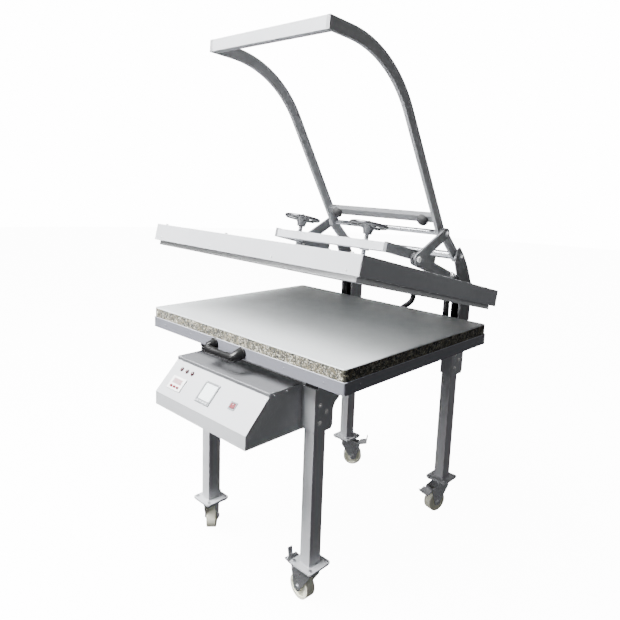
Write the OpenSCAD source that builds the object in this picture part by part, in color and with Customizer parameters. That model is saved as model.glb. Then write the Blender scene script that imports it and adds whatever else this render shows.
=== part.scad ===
// Large-format swing heat press: four-legged stand on casters, drawer bed,
// tilting heated platen and a linked handle frame. X runs to the right, Y to
// the rear, Z up; the origin is on the floor, in the middle of the footprint.
// The press stands open.

/* [Bed] */
// Width of the bed and its pad
bed_w = 1000; // [900:10:1040]
// Depth of the bed and its pad
bed_d = 820; // [760:10:830]
// Height of the pad's top face above the floor
pad_top_z = 911; // [902:1:912]
// Thickness of the rebonded foam pad
pad_t = 40; // [20:1:45]
// Height of the steel tray under the pad
tray_h = 38; // [30:1:38]

/* [Upper platen] */
// Width of the platen cover
cover_w = 1038; // [1020:2:1060]
// Depth of the platen cover
cover_d = 850; // [830:2:852]
// Height of the platen cover
cover_h = 62; // [56:1:64]
// Width of the heated plate
plate_w = 1000; // [900:10:1010]
// Depth of the heated plate
plate_d = 820; // [760:10:826]
// Angle of the open platen above the bed
open_angle = 13.3; // [13.2:0.1:13.4]

/* [Handle] */
// Depth of the handle arm's tube
arm_depth = 42; // [36:1:44]
// Radius of the bend in the handle arms, on the centre line
arm_bend_r = 410; // [360:10:460]
// Diameter of each handwheel
wheel_dia = 145; // [120:5:160]

/* [Stand] */
// Distance between the left and right leg centres
leg_span_x = 562; // [560:1:564]
// Width of a leg tube
leg_w = 44; // [40:1:44]
// Depth of a leg tube
leg_d = 54; // [50:1:56]
// Diameter of a caster wheel
caster_dia = 90; // [84:1:92]

/* [Hidden] */
$fn = 64;

// Colours
frame_grey = [0.62, 0.64, 0.66];
cover_grey = [0.80, 0.81, 0.82];
zinc = [0.75, 0.76, 0.78];
steel = [0.70, 0.71, 0.73];
black = [0.08, 0.08, 0.09];

// Distance of the footprint's middle behind the bed's middle. Sizes below are
// measured from the bed's middle.
bed_ahead = 38;

// Side-view points, [y, z]: main handle pivot, elbow, link foot, platen hinge
main_pivot = [490, 1144];
elbow = [386, 1241];
link_foot = [199, 1152];
platen_hinge = [575, 1016];
link_foot_closed = platen_hinge + rot2(open_angle, link_foot - platen_hinge);

// Side layers: first face of each layer, to the right of the middle
arm_x = 276;
arm_w = 14;
crank_x = 290;
crank_t = 11;
link_x = 302;
link_t = 10;
fin_x = 316;
fin_t = 6;

// Handle frame
bar_front = [-303, 1880];
bar_angle = 176.2;
arm_angle = 121.3;
tube_wall = 3;
bar_depth = 26;
cross_tube_s = 30;
shaft_r = 16;
journal_r = 10;
elbow_r = 11;
fit = 0.05;

// Platen carrier, measured with the press closed
beam_w = 50;
beam_h = 31;
beam_z = 1061;
screw_y = 24;
screw_x = 173;
screw_r = 8;
carrier_h = 37;
carrier_z = 1058;
carrier_back = 330;
plate_half = 24;
foot_hole_r = 11.4;
foot_bolt_r = 8;
cover_top_z = 1009;
cover_bottom_z = cover_top_z - cover_h;
cover_mid_y = 20;
hinge_pin_r = 10;
bridge_t = 12;
insulation_t = 25;

// Stand
leg_x = leg_span_x / 2;
front_leg_y = -292;
rear_leg_y = 541;
base_plate = 102;
base_t = 6;
leg_foot_z = 144;
rail_z = 776;
rail_h = 40;
rail_x = 260;
rail_w = 56;
rail_front = -320;
rail_back = 600;
upright_front = 520;
upright_in = 276;
upright_out = 316;
sheet = 5;
brace_z = 947;

// Gas struts
strut_x = 282;
strut_foot = [472, 852];
strut_head = [472, 1053];
strut_r = 13;
strut_rod_r = 5;
strut_pin_r = 5;

// Control box
box_half = 248;
box_back = rail_front;
box_bottom = 626;
box_nose_y = -554;
box_nose_z = 673;
box_top_z = 782;
box_fold = [-463, 772];
panel_angle = atan2(box_fold[1] - box_nose_z, box_fold[0] - box_nose_y);

// Casters: trail directions, degrees from +X
caster_mid_z = caster_dia / 2;
caster_trail = 34;
trail_fl = 136;
trail_fr = 176;
trail_rl = 42;
trail_rr = -104;
crown_z = leg_foot_z - 14;
crown_t = 16;
fork_gap = 21;
fork_t = 3.5;
tread_half = 18;
kingpin_r = 8;
axle_r = 5;
pedal_pivot = [60, 104];
pedal_pin_r = 4;
pedal_pressed = 32;

// Heater cable route between the junction box and the frame
cable_r = 12.5;
cable_route = [
    [65, 548, 946], [65, 548, 934], [62, 550, 921], [55, 553, 908],
    [44, 556, 896], [31, 560, 886], [17, 564, 877], [2, 569, 867],
    [-11, 574, 857], [-21, 578, 846], [-27, 580, 833], [-30, 580, 820],
    [-30, 580, 806]
];

function rot2(a, p) = [p[0] * cos(a) - p[1] * sin(a), p[0] * sin(a) + p[1] * cos(a)];
function unit(v) = v / norm(v);

// ---- helpers ----

// Moves from the middle of the bed to the middle of the machine's footprint
module placed() {
    translate([0, -bed_ahead, 0]) children();
}

// Draws in the side view, [y, z], and thickens along X from x0
module side(x0, w) {
    translate([x0, 0, 0]) rotate([90, 0, 90]) linear_extrude(w) children();
}

// A round pin along X through a side-view point
module xpin(x0, len, p, r) {
    translate([x0, p[0], p[1]]) rotate([0, 90, 0]) cylinder(h = len, r = r);
}

module both_sides() {
    children();
    mirror([1, 0, 0]) children();
}

// A flat bar with round ends between two points
module bar2d(p, q, r) {
    translate(p) circle(r);
    translate(q) circle(r);
    translate(p) rotate(atan2(q[1] - p[1], q[0] - p[0]))
        translate([0, -r + fit]) square([norm(q - p), 2 * (r - fit)]);
}

// A flat bar with round ends of two sizes
module taper2d(p, q, rp, rq) {
    across = unit([p[1] - q[1], q[0] - p[0]]);
    translate(p) circle(rp);
    translate(q) circle(rq);
    polygon([p + (rp - fit) * across, q + (rq - fit) * across,
             q - (rq - fit) * across, p - (rp - fit) * across]);
}

// A strip from p along direction a, centred across
module strip2d(p, a, len, w) {
    translate(p) rotate(a) translate([0, -w / 2]) square([len, w]);
}

module rounded2d(w, d, r) {
    square([w - 2 * r, d], center = true);
    square([w, d - 2 * r], center = true);
    for (sx = [-1, 1], sy = [-1, 1])
        translate([sx * (w / 2 - r), sy * (d / 2 - r)]) circle(r);
}

// Turns what is drawn closed into the open pose, about the platen hinge
module opened() {
    translate([0, platen_hinge[0], platen_hinge[1]]) rotate([-open_angle, 0, 0])
        translate([0, -platen_hinge[0], -platen_hinge[1]]) children();
}

// Box by its lowest corner and size
module block(p, s) {
    translate(p) cube(s);
}

// ---- stand ----

module leg(y, top) {
    difference() {
        block([leg_x - leg_w / 2, y - leg_d / 2, leg_foot_z],
              [leg_w, leg_d, top - leg_foot_z]);
        block([leg_x - leg_w / 2 + tube_wall, y - leg_d / 2 + tube_wall, leg_foot_z + base_t],
              [leg_w - 2 * tube_wall, leg_d - 2 * tube_wall, top]);
    }
    difference() {
        translate([leg_x, y, leg_foot_z]) linear_extrude(base_t)
            rounded2d(base_plate, base_plate, 10);
        for (sx = [-1, 1], sy = [-1, 1])
            translate([leg_x + sx * 38, y + sy * 38, leg_foot_z - 1])
                cylinder(h = base_t + 2, r = 4.5);
    }
}

module legs() {
    color(frame_grey) placed() both_sides() {
        leg(front_leg_y, rail_z);
        leg(rear_leg_y, rail_z);
    }
}

// Channel bracket round the top of a leg, with a flared side plate
module leg_bracket(y, flare) {
    front = y - leg_d / 2 - sheet;
    back = y + leg_d / 2 + (flare > 0 ? 28 : 32);
    outer = leg_x + leg_w / 2;
    inner = leg_x - leg_w / 2 - sheet;
    low = rail_z - 152;
    side(outer, sheet) difference() {
        polygon(concat([[front, low + 12], [front + 8, low], [back - 8, low], [back, low + 12]],
                       [[back + flare, rail_z], [front, rail_z]]));
        if (flare > 0)
            translate([back + 44, low + 58]) circle(44);
        if (flare > 0)
            translate([back, low - 32]) square([60, 90]);
        for (p = [[y - 8, low + 94], [y + 22, low + 66], [y - 8, low + 34]])
            translate(p) circle(5);
    }
    side(inner, sheet) polygon([[front, low + 8], [y + leg_d / 2, low + 8],
                                [y + leg_d / 2, rail_z], [front, rail_z]]);
    block([inner, front, low + 8], [outer - inner + sheet, sheet, rail_z - low - 8]);
}

module leg_brackets() {
    color(frame_grey) placed() both_sides() {
        leg_bracket(front_leg_y, 44);
        leg_bracket(rear_leg_y, 0);
    }
}

// Square tube along Y or X, open at both ends
module tube_y(x, y0, y1, z, w, h) {
    difference() {
        block([x, y0, z], [w, y1 - y0, h]);
        block([x + tube_wall, y0 - 1, z + tube_wall],
              [w - 2 * tube_wall, y1 - y0 + 2, h - 2 * tube_wall]);
    }
}

module tube_x(x1, y, z, d, h) {
    difference() {
        block([-x1, y, z], [2 * x1, d, h]);
        block([-x1 - 1, y + tube_wall, z + tube_wall],
              [2 * x1 + 2, d - 2 * tube_wall, h - 2 * tube_wall]);
    }
}

module bed_frame() {
    color(frame_grey) placed() {
        both_sides() tube_y(rail_x, rail_front, rail_back, rail_z, rail_w, rail_h);
        tube_x(rail_x, rail_front, rail_z, 40, rail_h);
        difference() {
            tube_x(rail_x, rail_back - 40, rail_z, 40, rail_h);
            translate([-30, rail_back - 20, rail_z + rail_h - 8]) cylinder(h = 12, r = cable_r + 1.5);
        }
    }
}

// C-section slide runner on each side rail
module outer_runners() {
    color(zinc) placed() both_sides() difference() {
        block([rail_x + 8, rail_front, rail_z + rail_h], [40, 760, 12]);
        block([rail_x + 10, rail_front - 1, rail_z + rail_h + 2], [36, 762, 8]);
        block([rail_x + 16, rail_front - 1, rail_z + rail_h + 9], [24, 762, 4]);
    }
}

module uprights() {
    color(frame_grey) placed() both_sides() {
        difference() {
            side(upright_out - sheet, sheet) square_up(rail_z + 256);
            xpin(upright_out - sheet - 1, sheet + 2, platen_hinge, hinge_pin_r);
        }
        difference() {
            side(upright_in, sheet) square_up(rail_z + 278);
            xpin(upright_in - 1, sheet + 2, platen_hinge, hinge_pin_r);
        }
        block([upright_in + sheet, rail_back - sheet, rail_z + rail_h],
              [upright_out - upright_in - 2 * sheet, sheet, 166]);
    }
    color(frame_grey) placed() difference() {
        tube_x(upright_in, 562, brace_z, 36, 35);
        translate([65, 550, brace_z + 18]) rotate([-90, 0, 0]) cylinder(h = 16, r = 7);
    }
}

// Side outline of an upright wall up to height top
module square_up(top) {
    translate([upright_front, rail_z + rail_h])
        square([rail_back - upright_front, top - rail_z - rail_h]);
}

// Fin-shaped outer plate that carries the handle's pivot shaft
module pivot_plates() {
    fin_c = [199, 872];
    fin_r = 420;
    color(frame_grey) placed() both_sides() difference() {
        side(fin_x, fin_t) intersection() {
            translate(fin_c) circle(fin_r, $fn = 180);
            polygon([[upright_front, 862], [upright_front, 1022], [474, 1070], [451, 1124],
                     [464, 1172], [478, 1182], [600, 1182], [rail_back, 1032], [rail_back, 862]]);
        }
        xpin(fin_x - 1, fin_t + 2, main_pivot, journal_r + 4);
        xpin(fin_x - 1, fin_t + 2, platen_hinge, hinge_pin_r);
    }
}

module pivot_fittings() {
    // flanged bushes of the main pivot
    color([0.72, 0.60, 0.35]) placed() both_sides() difference() {
        union() {
            xpin(fin_x - 4, fin_t + 4, main_pivot, journal_r + 4);
            xpin(fin_x - 4, 4, main_pivot, journal_r + 8);
        }
        xpin(fin_x - 5, fin_t + 6, main_pivot, journal_r + fit);
    }
    // platen hinge pins with heads
    color(zinc) placed() both_sides() {
        xpin(upright_in - 6, fin_x + fin_t + 6 - upright_in, platen_hinge, hinge_pin_r);
        translate([fin_x + fin_t, platen_hinge[0], platen_hinge[1]])
            rotate([0, 90, 0]) cylinder(h = 8, r = 16, $fn = 6);
    }
}

module strut_brackets() {
    color(frame_grey) placed() both_sides() {
        block([rail_x + 2, strut_foot[0] - 20, rail_z + rail_h], [40, 40, 4]);
        for (x = [strut_x - 17, strut_x + 13])
            difference() {
                side(x, 4) {
                    strip2d([strut_foot[0], rail_z + rail_h], 90,
                            strut_foot[1] - rail_z - rail_h, 24);
                    translate(strut_foot) circle(12);
                }
                xpin(x - 1, 6, strut_foot, strut_pin_r);
            }
        xpin(strut_x - 20, 40, strut_foot, strut_pin_r);
    }
}

module junction_box() {
    color(black) placed() {
        difference() {
            block([32, 531, 946], [66, 31, 36]);
            block([35, 534, 949], [60, 30, 30]);
        }
        // gland under the box and gland on the frame
        difference() {
            translate([65, 548, 938]) cylinder(h = 8, r = cable_r + 5.5);
            translate([65, 548, 937]) cylinder(h = 10, r = cable_r + 1.5);
        }
        difference() {
            translate([-30, rail_back - 20, rail_z + rail_h]) cylinder(h = 14, r = cable_r + 6);
            translate([-30, rail_back - 20, rail_z + rail_h - 1]) cylinder(h = 16, r = cable_r + 2);
        }
    }
}

// Ring of sweep points round one route point
function ring(p, dir, r, n) = let (
        u = unit(cross(dir, [0, 1, 0])),
        v = cross(dir, u)
    ) [for (i = [0 : n - 1]) p + r * cos(360 * i / n) * u + r * sin(360 * i / n) * v];

function route_dir(pts, i) = unit(pts[min(i + 1, len(pts) - 1)] - pts[max(i - 1, 0)]);

module sweep_tube(pts, r, n) {
    m = len(pts);
    points = [for (i = [0 : m - 1]) each ring(pts[i], route_dir(pts, i), r, n)];
    walls = [for (i = [0 : m - 2], j = [0 : n - 1])
        [i * n + j, (i + 1) * n + j, (i + 1) * n + (j + 1) % n, i * n + (j + 1) % n]];
    caps = [[for (j = [0 : n - 1]) j], [for (j = [n - 1 : -1 : 0]) (m - 1) * n + j]];
    polyhedron(points, concat(walls, caps));
}

module heater_cable() {
    color(black) placed() sweep_tube(cable_route, cable_r - 0.3, 12);
}

// ---- control box ----

// Side outline of the box, shrunk by t
module box_outline(t) {
    polygon([
        [box_back, box_bottom + t], [box_nose_y + t, box_bottom + t],
        [box_nose_y + t, box_nose_z - 0.6 * t], [box_fold[0] + 0.6 * t, box_fold[1] - t],
        [box_fold[0] + 0.6 * t, box_top_z - t], [box_back, box_top_z - t]
    ]);
}

// Moves to the sloped panel: s down from its top fold, outward along local Z
module on_panel(x, s) {
    translate([x, box_fold[0], box_fold[1]]) rotate([panel_angle, 0, 0])
        translate([0, -s, 0]) children();
}

module control_box() {
    color(cover_grey) placed() difference() {
        side(-box_half, 2 * box_half) box_outline(0);
        side(-box_half + 2, 2 * box_half - 4) box_outline(2);
        block([-box_half + 2, box_back - 3, box_bottom + 2],
              [2 * box_half - 4, 6, box_top_z - box_bottom - 4]);
        block([-200.1, box_back - 2.1, box_top_z - 3], [400.2, 3, 4]);
        on_panel(132, 70) translate([-14, -11, -6]) cube([28, 22, 12]);
        on_panel(-168, 82) translate([-34, -20, -6]) cube([68, 40, 12]);
        for (x = [-190, -159, -127])
            on_panel(x, 30) translate([0, 0, -6]) cylinder(h = 12, r = 5.5);
    }
}

module control_back() {
    color(frame_grey) placed() union() {
        block([-box_half + 2, box_back - 2, box_bottom + 2],
              [2 * box_half - 4, 2, box_top_z - box_bottom - 4]);
        block([-200, box_back - 2, box_top_z - 4], [400, 2, 28]);
    }
}

module indicator_lamps() {
    color([0.45, 0.10, 0.14]) placed() for (x = [-190, -159, -127])
        on_panel(x, 30) {
            translate([0, 0, -4]) cylinder(h = 5, r = 5.5);
            translate([0, 0, 0.2]) cylinder(h = 2.4, r1 = 7, r2 = 6);
        }
}

module controller_case() {
    color([0.93, 0.93, 0.93]) placed() on_panel(-168, 82) difference() {
        union() {
            translate([-34, -20, -40]) cube([68, 40, 41]);
            translate([-38, -24, 0.2]) cube([76, 48, 4]);
        }
        for (x = [-18, 0, 18])
            translate([x - 6.3, -17.3, -10]) cube([12.6, 8.6, 20]);
    }
}

// Display surround and the surround of the mains switch
module panel_frames() {
    color([0.55, 0.56, 0.57]) placed() {
        on_panel(-3, 68) difference() {
            translate([-37, -38, 0.2]) cube([74, 76, 3]);
            translate([-31, -26, 1.2]) cube([62, 58, 4]);
        }
        on_panel(132, 70) difference() {
            union() {
                translate([-15.5, -13.5, 0.2]) cube([31, 27, 2]);
                translate([-14, -11, -6]) cube([28, 22, 8]);
            }
            translate([-11.5, -9, -7]) cube([23, 18, 12]);
            translate([-13.4, 0, -1]) rotate([0, 90, 0]) cylinder(h = 26.8, r = 2 + fit);
        }
    }
}

module rocker_switch() {
    color([0.65, 0.12, 0.16]) placed() on_panel(132, 70) {
        translate([-11, 0, 0]) rotate([90, 0, 90]) linear_extrude(22)
            polygon([[-7.8, 4], [0, 2.2], [7.8, 1.5], [7.8, -2], [0, -5], [-7.8, -2]]);
        translate([-13.2, 0, -1]) rotate([0, 90, 0]) cylinder(h = 26.4, r = 2);
    }
}

// Short key in the lower row of the controller
module controller_key(i) {
    color([0.75, 0.15, 0.18]) placed() on_panel(-168, 82)
        translate([18 * i - 6, -17, -4]) cube([12, 8, 9.5]);
}

module button_1() {
    controller_key(-1);
}

module button_2() {
    controller_key(0);
}

module button_3() {
    controller_key(1);
}

// ---- bed ----

tray_z = pad_top_z - pad_t - tray_h;

module tray() {
    color(frame_grey) placed() {
        difference() {
            translate([0, 0, tray_z]) linear_extrude(tray_h) rounded2d(bed_w, bed_d, 6);
            translate([0, 0, tray_z - 1]) linear_extrude(tray_h - 1.5)
                rounded2d(bed_w - 5, bed_d - 5, 4);
        }
        // stiffening channels over the slides
        both_sides() difference() {
            block([rail_x + 8, -bed_d / 2 + 2, tray_z], [40, bed_d - 4, tray_h - 2]);
            block([rail_x + 10, -bed_d / 2 - 1, tray_z + 2], [36, bed_d + 2, tray_h]);
        }
    }
}

module foam_pad() {
    color([0.60, 0.58, 0.50]) placed() translate([0, 0, tray_z + tray_h])
        linear_extrude(pad_t) rounded2d(bed_w - 1, bed_d - 1, 14);
}

// Black bridge handle on domed feet at the front of the tray
module pull_handle() {
    mid = -28;
    pitch = 75;
    front = -bed_d / 2;
    foot_z = tray_z + tray_h / 2;
    grip_z = foot_z - 8;
    color(black) placed() {
        for (x = [mid - pitch, mid + pitch]) {
            translate([x, front, foot_z]) rotate([90, 0, 0]) {
                cylinder(h = 12, r = 18);
                translate([0, 0, 12]) cylinder(h = 6, r1 = 18, r2 = 13);
            }
            translate([x - 11, front - 44, grip_z - 11]) cube([22, 30, 22]);
            translate([x, front - 35, grip_z]) rotate([0, 90, 0])
                translate([0, 0, -13]) cylinder(h = 26, r = 11.5);
        }
        translate([mid - pitch, front - 35, grip_z]) rotate([0, 90, 0])
            cylinder(h = 2 * pitch, r = 11);
    }
}

module inner_runners() {
    color(steel) placed() both_sides() {
        block([rail_x + 10.5, rail_front + 2, rail_z + rail_h + 2.5], [35, 720, 6]);
        block([rail_x + 16.5, rail_front + 2, rail_z + rail_h + 8], [23, 720, 6]);
        block([rail_x + 8, -392, rail_z + rail_h + 12.8],
              [40, 784, tray_z - rail_z - rail_h - 12.8]);
    }
}

// ---- handle frame ----

arm_turn = bar_angle - arm_angle;
arm_tangent = arm_bend_r * tan(arm_turn / 2);
// Corner where the two straight stretches of the arm would meet
arm_corner = let (
        a = [cos(arm_angle), sin(arm_angle)],
        b = [-cos(bar_angle), -sin(bar_angle)],
        d = bar_front - elbow,
        t = (d[0] * b[1] - d[1] * b[0]) / (a[0] * b[1] - a[1] * b[0])
    ) elbow + t * a;
bend_low = arm_corner - arm_tangent * [cos(arm_angle), sin(arm_angle)];
bend_high = arm_corner + arm_tangent * [cos(bar_angle), sin(bar_angle)];
bend_mid = bend_low + arm_bend_r * [cos(arm_angle + 90), sin(arm_angle + 90)];

// Side outline of a handle arm with depth d, from the elbow to the bar. The
// straight stretches run 3 mm into the bend and are a hair narrower.
module arm2d(d) {
    lap = 3;
    strip2d(elbow, arm_angle, norm(bend_low - elbow) + lap, d - 2 * fit);
    intersection() {
        difference() {
            translate(bend_mid) circle(arm_bend_r + d / 2, $fn = 180);
            translate(bend_mid) circle(arm_bend_r - d / 2, $fn = 180);
        }
        polygon([bend_mid, bend_mid + 2 * (bend_low - bend_mid),
                 bend_mid + 3 * (arm_corner - bend_mid),
                 bend_mid + 2 * (bend_high - bend_mid)]);
    }
    strip2d(bend_high - lap * [cos(bar_angle), sin(bar_angle)], bar_angle,
            norm(bar_front - bend_high) + lap, d - 2 * fit);
}

module handle_arms() {
    color(frame_grey) placed() both_sides() {
        difference() {
            union() {
                side(arm_x, arm_w) {
                    arm2d(arm_depth);
                    translate(elbow) circle(arm_depth / 2);
                }
                side(crank_x, crank_t) {
                    bar2d(elbow, main_pivot, 21);
                    translate(main_pivot) circle(25);
                }
            }
            side(arm_x + tube_wall, arm_w - 2 * tube_wall) arm2d(arm_depth - 2 * tube_wall);
            xpin(arm_x - 1, arm_w + crank_t + 2, elbow, elbow_r);
            xpin(crank_x - 1, crank_t + 2, main_pivot, shaft_r);
        }
        side(arm_x, arm_w)
            strip2d(bar_front, bar_angle + 180, tube_wall, arm_depth - 2 * fit);
    }
}

module handle_bar() {
    color(frame_grey) placed() translate([0, bar_front[0], bar_front[1]]) rotate([bar_angle - 180, 0, 0])
        difference() {
            translate([-arm_x, 0, -arm_depth / 2]) cube([2 * arm_x, bar_depth, arm_depth]);
            translate([-arm_x - 1, tube_wall, -arm_depth / 2 + tube_wall])
                cube([2 * arm_x + 2, bar_depth - 2 * tube_wall, arm_depth - 2 * tube_wall]);
        }
}

cross_mid = [353, 1301];

module cross_tube() {
    color(frame_grey) placed() translate([0, cross_mid[0], cross_mid[1]])
        rotate([arm_angle - 90, 0, 0]) difference() {
            translate([-arm_x, -cross_tube_s / 2, -cross_tube_s / 2])
                cube([2 * arm_x, cross_tube_s, cross_tube_s]);
            translate([-arm_x - 1, -cross_tube_s / 2 + tube_wall, -cross_tube_s / 2 + tube_wall])
                cube([2 * arm_x + 2, cross_tube_s - 2 * tube_wall, cross_tube_s - 2 * tube_wall]);
        }
}

module elbow_shaft() {
    color(steel) placed() {
        xpin(-link_x - link_t - 1, 2 * (link_x + link_t + 1), elbow, elbow_r);
        both_sides() xpin(link_x + link_t + 0.6, 3.5, elbow, elbow_r + 2);
    }
}

module pivot_shaft() {
    color(steel) placed() {
        xpin(-fin_x - fin_t - 2, 2 * (fin_x + fin_t + 2), main_pivot, journal_r);
        xpin(-crank_x - crank_t, 2 * (crank_x + crank_t), main_pivot, shaft_r);
        both_sides() {
            difference() {
                xpin(crank_x + crank_t, 9.5, main_pivot, shaft_r + 6);
                xpin(crank_x + crank_t - 1, 12, main_pivot, journal_r);
            }
            xpin(fin_x + fin_t + 0.6, 4, main_pivot, journal_r + 3);
        }
    }
}

// Rubber domes on the cross tube's front face
module bumpers() {
    dome_r = 24;
    color(black) placed() both_sides()
        translate([226, cross_mid[0], cross_mid[1]]) rotate([arm_angle - 90, 0, 0])
            translate([0, -cross_tube_s / 2, -3]) rotate([90, 0, 0]) {
                rotate_extrude() intersection() {
                    translate([0, 4]) scale([1, 0.75]) circle(dome_r);
                    translate([0, 0]) square([dome_r, 30]);
                }
            }
}

module link_bar() {
    color(frame_grey) placed() difference() {
        side(link_x, link_t) bar2d(elbow, link_foot, 21);
        xpin(link_x - 1, link_t + 2, elbow, elbow_r + fit);
    }
    color(zinc) placed() {
        xpin(crank_x + 1, link_x - crank_x - 1, link_foot, foot_bolt_r);
        translate([link_x + link_t, link_foot[0], link_foot[1]])
            rotate([0, 90, 0]) cylinder(h = 7, r = 12, $fn = 6);
    }
}

module link_right() {
    link_bar();
}

module link_left() {
    mirror([1, 0, 0]) link_bar();
}

// ---- platen carrier ----

module crossbeam() {
    color(cover_grey) placed() opened() difference() {
        block([-arm_x, screw_y - beam_w / 2, beam_z], [2 * arm_x, beam_w, beam_h]);
        block([-arm_x - 1, screw_y - beam_w / 2 + tube_wall, beam_z + tube_wall],
              [2 * arm_x + 2, beam_w - 2 * tube_wall, beam_h - 2 * tube_wall]);
        for (x = [-screw_x, screw_x])
            translate([x, screw_y, beam_z - 1]) cylinder(h = beam_h + 2, r = screw_r + 5);
    }
}

module screw_nuts() {
    color([0.72, 0.60, 0.35]) placed() opened() for (x = [-screw_x, screw_x])
        translate([x, screw_y, 0]) difference() {
            union() {
                translate([0, 0, beam_z - 3]) cylinder(h = beam_h + 6, r = screw_r + 5);
                translate([0, 0, beam_z - 5]) cylinder(h = 5, r = screw_r + 10);
            }
            translate([0, 0, beam_z - 10]) cylinder(h = beam_h + 20, r = screw_r + 2 * fit);
        }
}

module carrier_arms() {
    front = screw_y - beam_w / 2;
    color(frame_grey) placed() opened() both_sides() difference() {
        block([arm_x, front, carrier_z], [arm_w, carrier_back - front, carrier_h]);
        block([arm_x + tube_wall, front + tube_wall, carrier_z + tube_wall],
              [arm_w - 2 * tube_wall, carrier_back, carrier_h - 2 * tube_wall]);
    }
}

module hinge_plates() {
    color(frame_grey) placed() both_sides() {
        difference() {
            side(crank_x, crank_t)
                taper2d(link_foot, platen_hinge, plate_half, plate_half - 4);
            xpin(crank_x - 1, crank_t + 2, link_foot, foot_hole_r);
            xpin(crank_x - 1, crank_t + 2, platen_hinge, hinge_pin_r + fit);
        }
        // ball stud for the gas strut
        xpin(strut_x - 7, crank_x - strut_x + 7, strut_head, strut_pin_r);
    }
}

// ---- upper platen ----

module platen_cover() {
    color(cover_grey) placed() opened() difference() {
        translate([0, cover_mid_y, cover_bottom_z]) linear_extrude(cover_h)
            rounded2d(cover_w, cover_d, 4);
        translate([0, cover_mid_y, cover_bottom_z - 1]) linear_extrude(cover_h - 1)
            rounded2d(cover_w - 4, cover_d - 4, 3);
    }
}

module insulation_board() {
    color([0.85, 0.83, 0.75]) placed() opened()
        translate([-plate_w / 2, cover_mid_y - plate_d / 2, cover_bottom_z + 6])
            cube([plate_w, plate_d, insulation_t]);
}

module heating_plate() {
    color(steel) placed() opened()
        translate([-plate_w / 2, cover_mid_y - plate_d / 2, cover_bottom_z - 16])
            cube([plate_w, plate_d, 22]);
}

module screw_bridge() {
    color(cover_grey) placed() opened() difference() {
        block([-230, screw_y - 24, cover_top_z], [460, 48, bridge_t]);
        for (x = [-screw_x, screw_x])
            translate([x, screw_y, cover_top_z + 4]) cylinder(h = bridge_t, r = screw_r + fit);
    }
}

wheel_z = 1150;
hub_z = 1115;

// Dished wheel with three spokes and a deep hub
module handwheel(x) {
    rim_r = wheel_dia / 2 - 6.5;
    color(steel) placed() opened() translate([x, screw_y, 0]) difference() {
        union() {
            translate([0, 0, wheel_z]) rotate_extrude($fn = 72)
                translate([rim_r, 0]) circle(6.5, $fn = 24);
            translate([0, 0, hub_z]) cylinder(h = 36, r = 15);
            for (a = [90, 210, 330])
                rotate(a) translate([0, 0, hub_z + 24]) rotate([0, 84, 0])
                    cylinder(h = rim_r + 1, r = 5.5);
        }
        translate([0, 0, hub_z - 1]) cylinder(h = 31, r = screw_r);
    }
}

module pressure_screw(x) {
    color(black) placed() opened() translate([x, screw_y, 0]) {
        translate([0, 0, cover_top_z + 4.2]) cylinder(h = hub_z + 30 - cover_top_z - 4.2, r = screw_r);
        translate([0, 0, cover_top_z + bridge_t + 0.4]) cylinder(h = 6, r = screw_r + 5);
    }
}

module handwheel_left() {
    handwheel(-screw_x);
}

module handwheel_right() {
    handwheel(screw_x);
}

module screw_left() {
    pressure_screw(-screw_x);
}

module screw_right() {
    pressure_screw(screw_x);
}

// ---- gas struts ----

strut_top_z = 980;

module strut_cylinder() {
    color(black) placed() difference() {
        union() {
            translate([strut_x, strut_foot[0], strut_foot[1] + 16])
                cylinder(h = strut_top_z - strut_foot[1] - 16, r = strut_r);
            xpin(strut_x - 11, 22, strut_foot, 12);
            translate([strut_x, strut_foot[0], strut_foot[1]]) cylinder(h = 20, r = 8);
        }
        xpin(strut_x - 12, 24, strut_foot, strut_pin_r + fit);
        translate([strut_x, strut_foot[0], strut_foot[1] + 60])
            cylinder(h = 200, r = strut_rod_r + fit);
    }
}

module strut_rod() {
    color(steel) placed() difference() {
        union() {
            translate([strut_x, strut_foot[0], strut_foot[1] + 90])
                cylinder(h = strut_head[1] - strut_foot[1] - 96, r = strut_rod_r);
            xpin(strut_x - 7, 13, strut_head, 11);
        }
        xpin(strut_x - 8, 15, strut_head, strut_pin_r + 1);
    }
}

module strut_cylinder_right() {
    strut_cylinder();
}

module strut_cylinder_left() {
    mirror([1, 0, 0]) strut_cylinder();
}

module strut_rod_right() {
    strut_rod();
}

module strut_rod_left() {
    mirror([1, 0, 0]) strut_rod();
}

// ---- casters ----

// Moves to a leg's caster axis, with local +X along the trail
module at_caster(sx, y, trail) {
    translate([sx * leg_x, y, 0]) rotate([0, 0, trail]) children();
}

module caster_plate(sx, y) {
    hole = 38;
    translate([sx * leg_x, y, 0]) difference() {
        union() {
            translate([0, 0, leg_foot_z - 5]) linear_extrude(5) rounded2d(96, 96, 8);
            translate([0, 0, crown_z + 0.5]) cylinder(h = leg_foot_z - 5 - crown_z, r = 30);
        }
        for (ax = [-hole, hole], ay = [-hole, hole])
            translate([ax, ay, leg_foot_z - 6]) cylinder(h = 7, r = 4.5);
        translate([0, 0, crown_z - 1]) cylinder(h = 11, r = kingpin_r + fit);
    }
    for (ax = [-hole, hole], ay = [-hole, hole])
        translate([sx * leg_x + ax, y + ay, 0]) {
            translate([0, 0, leg_foot_z - 9]) cylinder(h = 20, r = 4);
            translate([0, 0, leg_foot_z + base_t]) cylinder(h = 5, r = 6.5, $fn = 6);
            translate([0, 0, leg_foot_z - 10]) cylinder(h = 5, r = 6.5, $fn = 6);
        }
}

module caster_plates() {
    color(zinc) placed() for (sx = [-1, 1], y = [front_leg_y, rear_leg_y])
        caster_plate(sx, y);
}

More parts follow.
